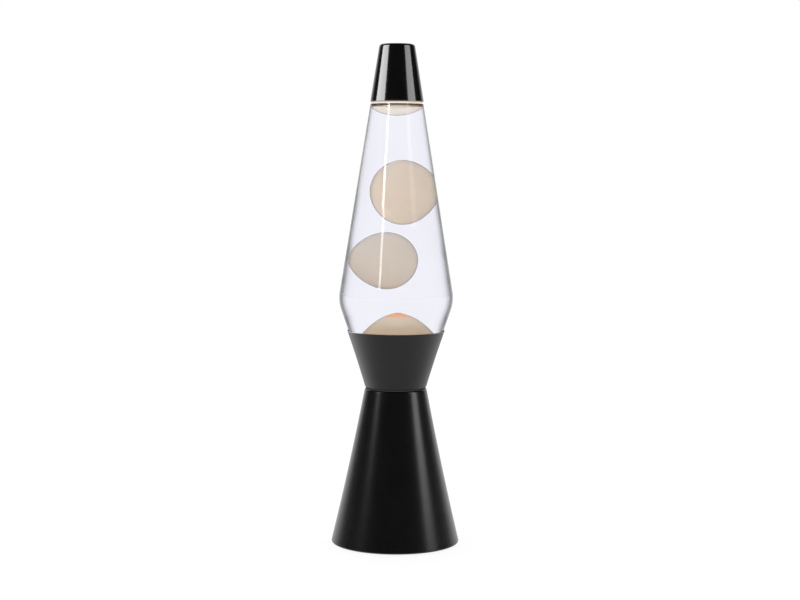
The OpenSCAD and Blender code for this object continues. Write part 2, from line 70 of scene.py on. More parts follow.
def make_world():
    """A white studio: an even light for what is matt, and for gloss a white wall behind and a dark room in front."""
    world = bpy.data.worlds.new("studio")
    world.use_nodes = True
    world.cycles.sampling_method = "NONE"
    scene.world = world
    tree = Tree(world.node_tree)
    direction = tree.add("TexCoord").outputs["Generated"]
    split = tree.add("SeparateXYZ", Vector=direction)
    path = tree.add("LightPath")
    gloss = tree.ramp_value(split.outputs["Y"], 0.55, 0.88, GLOSS_FRONT, GLOSS_BACK)
    matt = tree.math("MULTIPLY", tree.ramp_value(split.outputs["Z"], -0.2, 1.0, MATT_LOW, MATT_HIGH),
                     tree.ramp_value(split.outputs["X"], -1.0, 1.0, MATT_LEFT, MATT_RIGHT))
    inner = tree.ramp_value(split.outputs["Z"], 0.2, 1.0, INNER_LOW, INNER_HIGH)
    value = tree.mix_value(path.outputs["Is Diffuse Ray"], gloss, matt)
    value = tree.mix_value(path.outputs["Is Transmission Ray"], value, inner)
    value = tree.mix_value(path.outputs["Is Camera Ray"], value, 1.0)
    back = tree.add("Background", Color=(1, 1, 1, 1), Strength=value)
    tree.link(back.outputs[0], tree.add("OutputWorld").inputs["Surface"])


def area_light(name, azimuth, middle_z, width, height, radiance, only):
    """A softbox at an azimuth left of the camera, facing the lamp. only holds what it lights."""
    data = bpy.data.lights.new(name, "AREA")
    data.shape = "RECTANGLE"
    data.size, data.size_y = width, height
    data.energy = radiance * width * height * math.pi
    light = bpy.data.objects.new(name, data)
    a = math.radians(azimuth)
    light.location = (-math.sin(a) * LIGHT_DISTANCE, -math.cos(a) * LIGHT_DISTANCE, middle_z)
    aim = Vector((0, 0, middle_z)) - light.location
    light.rotation_mode = "QUATERNION"
    light.rotation_quaternion = aim.to_track_quat("-Z", "Y")
    light.visible_camera = False
    light.visible_transmission = False
    light.visible_diffuse = False
    scene.collection.objects.link(light)
    linked = bpy.data.collections.new(name + "_lit")
    for piece in only:
        linked.objects.link(piece)
    light.light_linking.receiver_collection = linked


def make_floor():
    mesh = bpy.data.meshes.new("floor")
    corners = [(x * FLOOR_HALF, y * FLOOR_HALF, 0) for x, y in ((-1, -1), (1, -1), (1, 1), (-1, 1))]
    mesh.from_pydata(corners, [], [(0, 1, 2, 3)])
    floor = bpy.data.objects.new("floor", mesh)
    scene.collection.objects.link(floor)
    tree, bsdf = principled("floor_white")
    grain = tree.noise(30, detail=2)
    tree.link(tree.colours(grain, (0.11, 0.11, 0.11), (0.13, 0.13, 0.13)), bsdf.inputs["Base Color"])
    set_constants(bsdf, Roughness=0.9, Specular_IOR_Level=0.1, Emission_Color=(1, 1, 1, 1),
                  Emission_Strength=FLOOR_SHINE)
    mesh.materials.append(tree.material)


# ---- Node trees ----

class Tree:
    """A short way to write a node tree."""

    def __init__(self, nt, material=None):
        self.nt, self.material, self.out = nt, material, None
        nt.nodes.clear()

    def add(self, kind, **inputs):
        n = self.nt.nodes.new("ShaderNode" + kind)
        for key, value in inputs.items():
            self.set(n.inputs[key.replace("_", " ")], value)
        return n

    def set(self, socket, value):
        if isinstance(value, bpy.types.NodeSocket):
            self.nt.links.new(value, socket)
        else:
            socket.default_value = value

    def link(self, a, b):
        self.nt.links.new(a, b)

    def ramp_value(self, source, low, high, to_low, to_high, smooth=True):
        """Maps low to high on to to_low to to_high, and holds the ends."""
        n = self.add("MapRange")
        n.interpolation_type = "SMOOTHSTEP" if smooth else "LINEAR"
        for key, value in zip(("Value", "From Min", "From Max", "To Min", "To Max"),
                              (source, low, high, to_low, to_high)):
            self.set(n.inputs[key], value)
        return n.outputs["Result"]

    def mix_value(self, factor, a, b):
        n = self.add("Mix")
        n.data_type = "FLOAT"
        for i, value in ((0, factor), (2, a), (3, b)):
            self.set(n.inputs[i], value)
        return n.outputs[0]

    def mix_colour(self, factor, a, b, mode="MIX"):
        n = self.add("Mix")
        n.data_type = "RGBA"
        n.blend_type = mode
        for i, value in ((0, factor), (6, a), (7, b)):
            self.set(n.inputs[i], (*value, 1) if isinstance(value, tuple) and len(value) == 3 else value)
        return n.outputs[2]

    def colours(self, source, *stops):
        """A colour ramp. Each stop is (place, colour), or just a colour where they are spread evenly."""
        n = self.add("ValToRGB")
        self.link(source, n.inputs["Fac"])
        ramp = n.color_ramp
        placed = [s if len(s) == 2 else (i / (len(stops) - 1), s) for i, s in enumerate(stops)]
        while len(ramp.elements) < len(placed):
            ramp.elements.new(0.5)
        for e, (place, colour) in zip(ramp.elements, placed):
            e.position = place
            e.color = (*colour, 1)
        return n.outputs["Color"]

    def math(self, kind, a, b=0.0):
        n = self.add("Math")
        n.operation = kind
        self.set(n.inputs[0], a)
        self.set(n.inputs[1], b)
        return n.outputs[0]

    def place(self, stretch=(1, 1, 1)):
        """The point's own place on its piece, in metres, stretched."""
        at = self.add("TexCoord").outputs["Object"]
        if stretch == (1, 1, 1):
            return at
        return self.add("Mapping", Vector=at, Scale=stretch).outputs[0]

    def noise(self, scale, detail=3, rough=0.5, stretch=(1, 1, 1)):
        n = self.add("TexNoise", Vector=self.place(stretch), Scale=scale, Detail=detail, Roughness=rough)
        return n.outputs["Fac"]

    def bump(self, height, depth, strength=1.0, after=None):
        n = self.add("Bump", Height=height, Distance=depth, Strength=strength)
        if after is not None:
            self.link(after, n.inputs["Normal"])
        return n.outputs["Normal"]

    def edges(self, low=0.52, high=0.62):
        """How sharp an outside edge is at this point, from 0 to 1."""
        return self.ramp_value(self.add("NewGeometry").outputs["Pointiness"], low, high, 0.0, 1.0)

    def height(self, low, high):
        """0 at the height low on the piece and 1 at the height high, in metres."""
        z = self.add("SeparateXYZ", Vector=self.place()).outputs["Z"]
        return self.ramp_value(z, low, high, 0.0, 1.0, smooth=False)

    def spin(self):
        """The distance from the lamp's axis plus the height, for turned and spun marks."""
        split = self.add("SeparateXYZ", Vector=self.place())
        square = self.math("ADD", self.math("POWER", split.outputs["X"], 2.0),
                           self.math("POWER", split.outputs["Y"], 2.0))
        return self.math("ADD", self.math("SQRT", square), split.outputs["Z"])


def principled(name):
    material = bpy.data.materials.new(name)
    material.use_nodes = True
    tree = Tree(material.node_tree, material)
    bsdf = tree.add("BsdfPrincipled")
    tree.out = tree.add("OutputMaterial")
    tree.link(bsdf.outputs[0], tree.out.inputs["Surface"])
    return tree, bsdf


def clear_material(name):
    """A material that light passes straight through, tinted. The tint is linked by the caller."""
    material = bpy.data.materials.new(name)
    material.use_nodes = True
    tree = Tree(material.node_tree, material)
    clear = tree.add("BsdfTransparent")
    tree.link(clear.outputs[0], tree.add("OutputMaterial").inputs["Surface"])
    return tree, clear.inputs["Color"]


def set_constants(bsdf, **values):
    for key, value in values.items():
        bsdf.inputs[key.replace("_", " ")].default_value = value


def paint(name, colour, rough, rough_spread, grain, grain_depth, wear=(0.1, 0.1, 0.1), level=0.5, rim_glow=None):
    """A sprayed coat: a fine stipple, slow cloudiness, and thin wear on the sharpest edges.
    The last argument paints a glow along the lower edge: a brown band standing for the orange light below the cap,
    strongest at one height, fading out by another, and its colour."""
    tree, bsdf = principled(name)
    cloud = tree.noise(45, detail=4)
    dark, light = tuple(0.8 * c for c in colour), tuple(1.25 * c for c in colour)
    body = tree.colours(cloud, (0.3, dark), (0.7, light))
    rub = tree.math("MULTIPLY", tree.edges(0.56, 0.7), tree.ramp_value(tree.noise(260), 0.45, 0.65, 0.0, 0.5))
    shown = tree.mix_colour(rub, body, wear)
    if rim_glow:
        # A brown band at the lower edge: painted glow standing for the orange light below the cap.
        glow_full_z, glow_gone_z, glow_colour = rim_glow
        rim_glow_mask = tree.math("MULTIPLY", tree.height(glow_gone_z, glow_full_z), tree.ramp_value(tree.noise(90), 0.3, 0.7, 0.6, 1.0))
        shown = tree.mix_colour(rim_glow_mask, shown, glow_colour)
    tree.link(shown, bsdf.inputs["Base Color"])
    smear = tree.noise(120, detail=5, rough=0.6)
    tree.link(tree.ramp_value(smear, 0.3, 0.7, rough - rough_spread, rough + rough_spread), bsdf.inputs["Roughness"])
    stipple = tree.bump(tree.noise(grain, detail=2), grain_depth)
    peel = tree.bump(tree.noise(grain * 0.22, detail=1), grain_depth * 2, after=stipple)
    tree.link(peel, bsdf.inputs["Normal"])
    set_constants(bsdf, Specular_IOR_Level=level)
    return tree.material


def turned_metal(name, colour, rough, spread, dull, marks=9000, depth=0.000012):
    """Spun or turned metal: fine rings round the axis, with duller patches."""
    tree, bsdf = principled(name)
    rings = tree.add("TexNoise", Scale=marks, Detail=3.0)
    rings.noise_dimensions = "1D"
    tree.link(tree.spin(), rings.inputs["W"])
    patch = tree.noise(180, detail=5, rough=0.65)
    tone = tree.colours(patch, (0.35, dull), (0.65, colour))
    tree.link(tone, bsdf.inputs["Base Color"])
    tree.link(tree.ramp_value(patch, 0.3, 0.7, rough + spread, rough - spread), bsdf.inputs["Roughness"])
    tree.link(tree.bump(rings.outputs["Fac"], depth), bsdf.inputs["Normal"])
    set_constants(bsdf, Metallic=1.0)
    return tree.material


def sheet_metal(name, colour, rough, dull, grain=(1, 1, 12), scale=300, depth=0.00001):
    """Rolled or plated sheet and wire: a grain along one direction, spangle and handling marks."""
    tree, bsdf = principled(name)
    spangle = tree.noise(220, detail=2)
    marks = tree.noise(scale, detail=6, rough=0.7, stretch=grain)
    tone = tree.colours(spangle, (0.35, dull), (0.6, colour))
    tree.link(tree.mix_colour(tree.ramp_value(marks, 0.5, 0.8, 0.0, 0.35), tone, dull), bsdf.inputs["Base Color"])
    tree.link(tree.ramp_value(marks, 0.3, 0.7, rough * 0.75, rough * 1.3), bsdf.inputs["Roughness"])
    tree.link(tree.bump(marks, depth), bsdf.inputs["Normal"])
    set_constants(bsdf, Metallic=1.0)
    return tree.material


def plastic(name, colour, rough, grain, depth, level=0.5):
    """Moulded plastic, rubber or fibre: a spark-eroded grain with faint flow marks."""
    tree, bsdf = principled(name)
    flow = tree.noise(60, detail=4, stretch=(1, 1, 2.5))
    low, high = tuple(0.8 * c for c in colour), tuple(min(1, 1.2 * c) for c in colour)
    scuff = tree.math("MULTIPLY", tree.edges(0.55, 0.68), 0.35)
    pale = tuple(min(1, c * 1.5 + 0.02) for c in colour)
    tree.link(tree.mix_colour(scuff, tree.colours(flow, (0.3, low), (0.7, high)), pale), bsdf.inputs["Base Color"])
    fine = tree.noise(grain, detail=3, rough=0.6)
    tree.link(tree.ramp_value(fine, 0.3, 0.7, rough - 0.06, rough + 0.06), bsdf.inputs["Roughness"])
    tree.link(tree.bump(fine, depth), bsdf.inputs["Normal"])
    set_constants(bsdf, Specular_IOR_Level=level)
    return tree.material


def wax(name, low, high, low_colour, middle_colour, high_colour, glow=None, lit=0.25):
    """Soft wax: cloudy and a little see-through. Its colour runs with height, partly its own tone and partly painted
    light: warmer where the bulb below lights it, and paler low down where shade falls. It glows with painted light,
    lit times its colour, and glow adds a hotter painted glow between two heights.
    """
    tree, bsdf = principled(name)
    up = tree.height(low, high)
    swirl = tree.noise(35, detail=3, rough=0.55)
    shifted = tree.math("ADD", up, tree.ramp_value(swirl, 0.2, 0.8, -0.12, 0.12))
    # The colour's run with height holds painted light: warmer where the bulb below lights the wax, and paler low down
    # where shade falls.
    body = tree.colours(shifted, low_colour, middle_colour, high_colour)
    mottle = tree.ramp_value(tree.noise(140, detail=4), 0.35, 0.75, 0.0, 0.25)
    shown = tree.mix_colour(mottle, body, tuple(0.93 * c for c in middle_colour))
    if glow:
        # glow paints a hotter glow between two heights: the colour there and the light it gives off.
        from_z, to_z, glow_tint, shine = glow
        glow_mask = tree.height(from_z, to_z)
        shown = tree.mix_colour(glow_mask, shown, glow_tint)
    tree.link(shown, bsdf.inputs["Base Color"])
    tree.link(tree.ramp_value(swirl, 0.3, 0.7, 0.35, 0.5), bsdf.inputs["Roughness"])
    tree.link(tree.bump(tree.noise(90, detail=2), 0.0002, 0.3), bsdf.inputs["Normal"])
    set_constants(bsdf, Specular_IOR_Level=0.15, Subsurface_Weight=0.35, Subsurface_Scale=0.006,
                  Subsurface_Radius=(1.0, 0.72, 0.5))
    # The wax glows with painted light: lit times its colour, as though the bulb below shone through it.
    light = tree.mix_colour(1.0, shown, (lit, lit, lit), "MULTIPLY")
    if glow:
        light = tree.mix_colour(glow_mask, light, shine)
    tree.link(light, bsdf.inputs["Emission Color"])
    set_constants(bsdf, Emission_Strength=1.0)
    return tree.material


def clear_glass(name, ior, rim, rough=0.0, wavy=0.00004, edge_shade_fade=None):
    """Blown glass: faint waves, and a painted shade that greys the wall where it is seen edge on, standing for the
    dark edges of the glass. rim holds that shade's (facing, tint) stops.
    The last argument is where that painted edge shade weakens upward: from a height, to a height, and by how much."""
    tree, bsdf = principled(name)
    facing = tree.add("LayerWeight", Blend=0.5).outputs["Facing"]
    if edge_shade_fade:
        low, high, share = edge_shade_fade
        z = tree.add("SeparateXYZ", Vector=tree.place()).outputs["Z"]
        facing = tree.math("SUBTRACT", facing, tree.ramp_value(z, low, high, 0.0, share))
    tree.link(tree.colours(facing, *((at, (t, t, t)) for at, t in rim)), bsdf.inputs["Base Color"])
    seed = tree.noise(25, detail=2, stretch=(1, 1, 0.35))
    tree.link(tree.bump(seed, wavy, 0.5), bsdf.inputs["Normal"])
    set_constants(bsdf, IOR=ior, Transmission_Weight=1.0, Roughness=rough)
    return tree.material


def wetted_glass():
    """The inside of the glass where the liquid wets it: the two bend light so alike that it only tints."""
    tree, tint = clear_material("wetted_glass")
    cloud = tree.noise(16, detail=2)
    tree.link(tree.colours(cloud, (0.3, WET_TINT), (0.7, tuple(min(1, 1.008 * c) for c in WET_TINT))), tint)
    return tree.material


def highlight_ledge_glass():
    """The moulded ledge at the bottle's shoulder, frosted, pale and glowing: a painted highlight, so that it shows
    bright beneath the cap.
    """
    tree, bsdf = principled("highlight_ledge_glass")
    frost = tree.noise(900, detail=3)
    tree.link(tree.colours(frost, (0.3, (0.80, 0.72, 0.66)), (0.7, (0.92, 0.86, 0.80))), bsdf.inputs["Base Color"])
    tree.link(tree.ramp_value(frost, 0.3, 0.7, 0.35, 0.55), bsdf.inputs["Roughness"])
    tree.link(tree.bump(frost, 0.00003), bsdf.inputs["Normal"])
    # The glow is the painted highlight.
    set_constants(bsdf, IOR=1.35, Transmission_Weight=0.25, Emission_Color=(1, 0.93, 0.86, 1), Emission_Strength=0.4)
    return tree.material


def liquid_material():
    """The clear liquid, which takes a little of the yellow out of what is seen through it."""
    tree, bsdf = principled("clear_liquid")
    haze = tree.noise(18, detail=2)
    tree.link(tree.colours(haze, (0.3, (0.985, 0.985, 1.0)), (0.7, (0.995, 0.995, 1.0))), bsdf.inputs["Base Color"])
    set_constants(bsdf, IOR=1.35, Transmission_Weight=1.0, Roughness=0.0, Specular_IOR_Level=0.5)
    absorb = tree.add("VolumeAbsorption", Color=(0.82, 0.82, 1.0, 1), Density=1.6)
    tree.link(absorb.outputs[0], tree.out.inputs["Volume"])
    return tree.material


# ---- Mesh ----

def corner(a, b, c, r, n):
    """An arc of radius r that rounds the corner at b, as points."""
    a, b, c = Vector(a), Vector(b), Vector(c)
    u, v = (a - b).normalized(), (c - b).normalized()
    half = math.acos(max(-1, min(1, u.dot(v)))) / 2
    middle = b + (u + v).normalized() * r / math.sin(half)
    start, end = b + u * r / math.tan(half) - middle, b + v * r / math.tan(half) - middle
    first = math.atan2(start.y, start.x)
    turn = math.atan2(start.x * end.y - start.y * end.x, start.dot(end))
    return [(middle.x + r * math.cos(first + turn * i / n), middle.y + r * math.sin(first + turn * i / n))
            for i in range(n + 1)]


def soft(path, n=10):
    """An outline of (r, z, rounding) corners in millimetres; a missing rounding leaves the corner sharp."""
    made = []
    for i, p in enumerate(path):
        if len(p) > 2:
            made += corner(path[i - 1][:2], p[:2], path[(i + 1) % len(path)][:2], p[2], n)
        else:
            made.append(tuple(p[:2]))
    return made


def new_object(name, points, faces, materials):
    mesh = bpy.data.meshes.new(name)
    mesh.from_pydata([tuple(x * MM for x in p) for p in points], [], faces)
    mesh.validate()
    for m in materials:
        mesh.materials.append(m)
    mesh.shade_smooth()
    made = bpy.data.objects.new(name, mesh)
    scene.collection.objects.link(made)
    return made


def mark_sharp(piece, degrees=32):
    """Keeps the edges crisp where two faces meet at more than this angle."""
    mesh = piece.data
    faces_at = {}
    for p in mesh.polygons:
        for key in p.edge_keys:
            faces_at.setdefault(key, []).append(p.normal.copy())
    limit = math.cos(math.radians(degrees))
    for e in mesh.edges:
        pair = faces_at.get(e.key, ())
        e.use_edge_sharp = len(pair) == 2 and pair[0].dot(pair[1]) < limit


def lathe(name, outline, materials, segments=192, at=(0, 0), shape=None):
    """A closed solid turned about Z from an outline in millimetres, from the axis to the axis or round a ring.
    shape(x, y, z) moves each point afterwards."""
    points, faces, rings = [], [], []
    for r, z in outline:
        if r < 1e-6:
            rings.append([len(points)])
            points.append((at[0], at[1], z))
        else:
            rings.append(list(range(len(points), len(points) + segments)))
            points += [(at[0] + r * math.cos(ROUND * i / segments), at[1] + r * math.sin(ROUND * i / segments), z)
                       for i in range(segments)]
    for k, a in enumerate(rings):
        b = rings[(k + 1) % len(rings)]
        if len(a) == 1 and len(b) == 1:
            continue
        for i in range(segments):
            j = (i + 1) % segments
            quad = [a[i % len(a)], a[j % len(a)], b[j % len(b)], b[i % len(b)]]
            faces.append([v for n, v in enumerate(quad) if v not in quad[:n]])
    if shape:
        points = [shape(*p) for p in points]
    piece = new_object(name, points, faces, materials)
    outward(piece)
    mark_sharp(piece)
    return piece


def outward(piece):
    """Turns the faces so that the solid's volume is positive."""
    mesh = piece.data
    total = 0.0
    for p in mesh.polygons:
        v = [mesh.vertices[i].co for i in p.vertices]
        for i in range(1, len(v) - 1):
            total += v[0].dot(v[i].cross(v[i + 1]))
    if total < 0:
        mesh.flip_normals()


def dress(names, material):
    """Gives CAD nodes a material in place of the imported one."""
    for name in names:
        piece = nodes[name]
        piece.data.materials.clear()
        piece.data.materials.append(material)
        piece.data.shade_smooth()
        mark_sharp(piece, 28)


def stand_for(piece, body, slot, *replaced):
    """Puts a piece on its body and hides the CAD nodes it replaces. slot is not used."""
    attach(piece, body)
    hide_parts(*replaced)
    return piece


# ---- The bottle and what it holds, in millimetres, as the CAD has them ----

SHOULDER_R, SHOULDER_Z, UPPER_SLOPE = 21.0, 353.2, 0.162
RIM_GLASS_R, RIM_Z, LOWER_SLOPE = 38.3, 172.3, 0.345
BELLY_Z = (SHOULDER_R + UPPER_SLOPE * SHOULDER_Z - RIM_GLASS_R + LOWER_SLOPE * RIM_Z) / (UPPER_SLOPE + LOWER_SLOPE)
BOTTLE_Z, FLOOR_Z, LIP_Z, LEVEL_Z = 148.5, 153.5, 385.0, 352.6
WALL = 2.2 * 1.04
MOUND_R, MOUND_Z, MOUND_X, MOUND_SPREAD = 23.6, 190.5, 1.2, 5.1


def lower_r(z):
    return RIM_GLASS_R + LOWER_SLOPE * (z - RIM_Z)


def upper_r(z):
    return SHOULDER_R + UPPER_SLOPE * (SHOULDER_Z - z)


def make_bottle():
    """The glass: its inside is wetted up to the liquid's level, and a frosted ledge with a painted highlight runs
    round its shoulder.
    """
    belly_r, heel_r = lower_r(BELLY_Z), lower_r(BOTTLE_Z)
    neck_r, bead_r, bore_r = 12.9, 13.25, 9.2
    outline = soft([
        (0, BOTTLE_Z + 2.4), (20, BOTTLE_Z + 1.8, 12), (heel_r - 7, BOTTLE_Z, 2.6), (heel_r, BOTTLE_Z, 2.6),
        (belly_r, BELLY_Z, 30), (SHOULDER_R, SHOULDER_Z, 1.2), (SHOULDER_R - 2.4, SHOULDER_Z + 1.5, 1),
        (neck_r, SHOULDER_Z + 16, 8), (neck_r, LIP_Z - 5.75), (bead_r, LIP_Z - 5.4), (bead_r, LIP_Z, 1),
        (bore_r, LIP_Z, 0.8), (bore_r, SHOULDER_Z + 13, 6), (SHOULDER_R - WALL, SHOULDER_Z, 3),
        (belly_r - WALL, BELLY_Z, 27.8), (lower_r(FLOOR_Z) - WALL, FLOOR_Z, 3), (0, FLOOR_Z)], 20)
    glass = clear_glass("bottle_glass", 1.35, GLASS_EDGE_SHADE, edge_shade_fade=(0.2, 0.32, 0.085))
    piece = lathe("glass_bottle", outline, [glass, wetted_glass(), highlight_ledge_glass()], 256)
    for p in piece.data.polygons:
        x, y, z = (c / MM for c in p.center)
        outer_r = min(lower_r(z), upper_r(z))
        if FLOOR_Z - 0.2 < z < LEVEL_Z and math.hypot(x, y) < outer_r - 1.2:
            p.material_index = 1
        elif SHOULDER_Z - 0.35 < z < SHOULDER_Z + 1.6 and math.hypot(x, y) > SHOULDER_R - 2.6:
            p.material_index = 2
    return stand_for(piece, "bottle_unit", "bottle_glass", "bottle")


def make_liquid():
    """The liquid reaches just into the glass, and only the camera sees its skin."""
    belly_r = lower_r(BELLY_Z)
    side = WALL - 0.12
    outline = soft([
        (0, FLOOR_Z - 0.1), (lower_r(FLOOR_Z) - side, FLOOR_Z - 0.1, 3.1),
        (belly_r - side, BELLY_Z, 27.9), (upper_r(LEVEL_Z) - side, LEVEL_Z), (0, LEVEL_Z)], 20)
    piece = lathe("clear_fill", outline, [liquid_material()], 256)
    for kind in ("diffuse", "glossy", "transmission", "volume_scatter", "shadow"):
        setattr(piece, "visible_" + kind, False)    # the wetted glass already stands for this boundary
    stand_for(piece, "bottle_unit", "clear_liquid", "liquid")


def drop(name, shape, pull, material, body, slot, node=None, grow=0.0):
    """A drop of wax turned about a line along X, from its [left, right, radius, x, z], as the CAD has it,
    with slow swells on its surface. grow makes it that much larger all round."""
    left, right, radius, x, z = shape
    steps = 48

    def half(reach, power, side):
        return [((radius + grow) * max(0, 1 - t * t) ** power, side * (reach + grow) * t)
                for t in (math.sin(math.pi / 2 * i / steps) for i in range(steps + 1))]

    def shape_at(px, py, pz):
        a = math.atan2(py, px)
        t = pz / ((right if pz > 0 else left) + grow)
        flow = 1 + 0.01 * math.sin(2 * a + 1.1 + 2 * t) * (1 - t * t)
        return x + pz, py * flow, z + px * flow

    outline = half(left, pull[0], -1)[::-1] + half(right, pull[1], 1)[1:]
    outline[0], outline[-1] = (0, outline[0][1]), (0, outline[-1][1])
    piece = lathe(name, outline, [material], 144, shape=shape_at)
    stand_for(piece, body, slot, *([node] if node else []))


def mound(name, grow, material, slot, node=None):
    """The wax on the bottle's floor: a flat pool, swelling up into a soft peak."""
    steps, pool_r = 64, 25.4
    outline = [(0, FLOOR_Z + 0.05), (pool_r, FLOOR_Z + 0.05), (pool_r - 0.1, FLOOR_Z + 0.9),
               (pool_r - 0.6, FLOOR_Z + 1.6)]
    outline += [(r + grow * r / MOUND_R, MOUND_Z + grow - (r / MOUND_SPREAD) ** 2)
                for r in (MOUND_R * (1 - i / steps) for i in range(steps + 1))]

    def shape_at(px, py, pz):
        a = math.atan2(py, px - MOUND_X)
        flow = 1 + 0.008 * math.sin(3 * a + 0.4) * math.sin(math.pi * (pz - FLOOR_Z) / (MOUND_Z - FLOOR_Z + 1))
        return MOUND_X + (px - MOUND_X) * flow, py * flow, pz

    piece = lathe(name, outline, [material], 160, at=(MOUND_X, 0), shape=shape_at)
    stand_for(piece, "bottle_unit", slot, *([node] if node else []))


def shade_film_material():
    """The skin of liquid round the wax: clear, with a painted shade that darkens it where it is seen edge on,
    standing for the dark outline of the wax.
    """
    tree, tint = clear_material("wax_shade_film")
    facing = tree.add("LayerWeight", Blend=0.5).outputs["Facing"]
    shade_mask = tree.math("ADD", facing, tree.ramp_value(tree.noise(40, detail=2), 0.2, 0.8, -0.02, 0.02))
    # The tint greys towards the edge: painted shade round the wax's outline.
    tree.link(tree.colours(shade_mask, (0.5, (1, 1, 1)), (0.7, (0.92, 0.915, 0.91)), (0.88, (0.66, 0.655, 0.65)),
                           (1.0, (0.42, 0.415, 0.41))), tint)
    return tree.material


def make_waxes():
    """The two blobs, the mound on the floor and the lens at the surface, each in a clear film that paints a shade
    round its outline.
    """
    shade_film = shade_film_material()
    # The blobs' colours, bottom to top, hold painted light: the low colours are paler and warmer, as lit from below
    # and against the shade there.
    upper = wax("wax_upper", 0.2563, 0.3067, (0.90, 0.78, 0.62), (0.785, 0.66, 0.505), (0.70, 0.61, 0.50))
    middle = wax("wax_middle", 0.2047, 0.2493, (0.72, 0.62, 0.505), (0.69, 0.60, 0.485), (0.64, 0.59, 0.52))
    for name, sizes, pull, material in (
            ("upper", (18.7, 22.1, 25.2, 3.4, 281.5), (0.5, 0.62), upper),
            ("middle", (25, 18.3, 22.2, -5.7, 227), (0.8, 0.5), middle)):
        body = name + "_wax"
        drop(f"soft_{name}_blob", sizes, pull, material, body, "ivory_wax", body)
        drop(f"{name}_film", sizes, pull, shade_film, body, "clear_liquid", grow=0.25)

    # The mound's orange peak is a painted glow of the bulb's light through the wax, and its orange foot is painted
    # light from below.
    mound_glow_wax = wax("wax_mound", 0.168, 0.1905, (0.70, 0.50, 0.31), (0.59, 0.475, 0.33), (0.71, 0.65, 0.55),
               glow=(0.1862, 0.1903, (0.72, 0.34, 0.12), (0.42, 0.13, 0.03)))
    mound("soft_mound", 0, mound_glow_wax, "ivory_wax", "wax_mound")
    mound("mound_shade_film", 0.2, shade_film, "clear_liquid")

    crest_r, lens_h, edge_h = 17.5, 9.0, 1.0
    lens_r = (crest_r ** 2 + lens_h ** 2) / (2 * lens_h)
    sweep = math.asin(crest_r / lens_r)
    lens_z = LEVEL_Z - lens_h - edge_h + lens_r

    def bowl(radius):
        steps = 40
        return [(radius * math.sin(sweep * i / steps), lens_z - radius * math.cos(sweep * i / steps))
                for i in range(steps + 1)]

    outline = bowl(lens_r) + [(crest_r, LEVEL_Z - 0.02), (0, LEVEL_Z - 0.02)]
    # The lens's brown top and its stronger glow, lit=0.42, are painted light from the bulb below.
    pale = wax("wax_crest", 0.3446, 0.3522, (0.90, 0.87, 0.81), (0.90, 0.84, 0.74), (0.72, 0.54, 0.35), lit=0.42)
    piece = lathe("soft_lens", outline, [pale], 128)
    stand_for(piece, "bottle_unit", "ivory_wax", "wax_crest")
    skin, skin_top = 0.2, LEVEL_Z - 0.35
    outline = bowl(lens_r + skin) + [(crest_r + skin, skin_top), (0, skin_top)]
    piece = lathe("lens_shade_film", outline, [shade_film], 128)
    stand_for(piece, "bottle_unit", "clear_liquid")


def make_meniscus():
    """The liquid's edge where it climbs the glass, drawn as painted shade: a thin dark olive ring standing for the
    shade along it, and a clear wedge that darkens at its ends.
    """
    tree, bsdf = principled("meniscus")
    streak = tree.noise(70, detail=3)
    # A dark olive ring: painted shade along the liquid's edge.
    tree.link(tree.colours(streak, (0.3, (0.05, 0.045, 0.03)), (0.7, (0.11, 0.10, 0.075))), bsdf.inputs["Base Color"])
    tree.link(tree.ramp_value(streak, 0.3, 0.7, 0.2, 0.35), bsdf.inputs["Roughness"])
    tree.link(tree.bump(streak, 0.00005), bsdf.inputs["Normal"])
    wall_r = upper_r(LEVEL_Z) - WALL
    outline = soft([(wall_r - 1.5, LEVEL_Z - 0.7, 0.3), (wall_r - 0.25, LEVEL_Z - 1.4, 0.3),
                    (wall_r - 0.3, LEVEL_Z + 0.6, 0.1), (wall_r - 1.2, LEVEL_Z + 0.2, 0.3)], 4)
    piece = lathe("meniscus_shade_line", outline, [tree.material], 192)
    stand_for(piece, "bottle_unit", "clear_liquid")

    # The wedge's tint is painted shade, darkest where it is seen edge on.
    tree, tint = clear_material("meniscus_shade_wedge")
    facing = tree.add("LayerWeight", Blend=0.5).outputs["Facing"]
    shade_mask = tree.math("ADD", facing, tree.ramp_value(tree.noise(60, detail=2), 0.2, 0.8, -0.006, 0.006))
    tree.link(tree.colours(shade_mask, (0.2, (1, 1, 1)), (0.27, (0.82, 0.81, 0.77)), (0.31, (0.5, 0.48, 0.41))), tint)
    low_r = upper_r(LEVEL_Z - 2.4) - WALL
    outline = [(wall_r - 0.45, LEVEL_Z - 0.85), (low_r - 0.3, LEVEL_Z - 2.4), (low_r - 0.42, LEVEL_Z - 2.4),
               (wall_r - 1.3, LEVEL_Z - 0.85)]
    piece = lathe("meniscus_shade_wedge", outline, [tree.material], 192)
    stand_for(piece, "bottle_unit", "clear_liquid")


# How the glass's tint falls off towards its edge, a painted edge shade, as (facing, tint), and the tint of its wetted
# inside
GLASS_EDGE_SHADE = ((0.0, 1.0), (0.4, 0.99), (0.5, 0.88), (0.58, 0.5), (0.645, 0.18), (0.7, 0.02), (1.0, 0.0))
WET_TINT = (0.935, 0.935, 0.975)


# ---- Small parts that get a finer shape than the CAD's ----

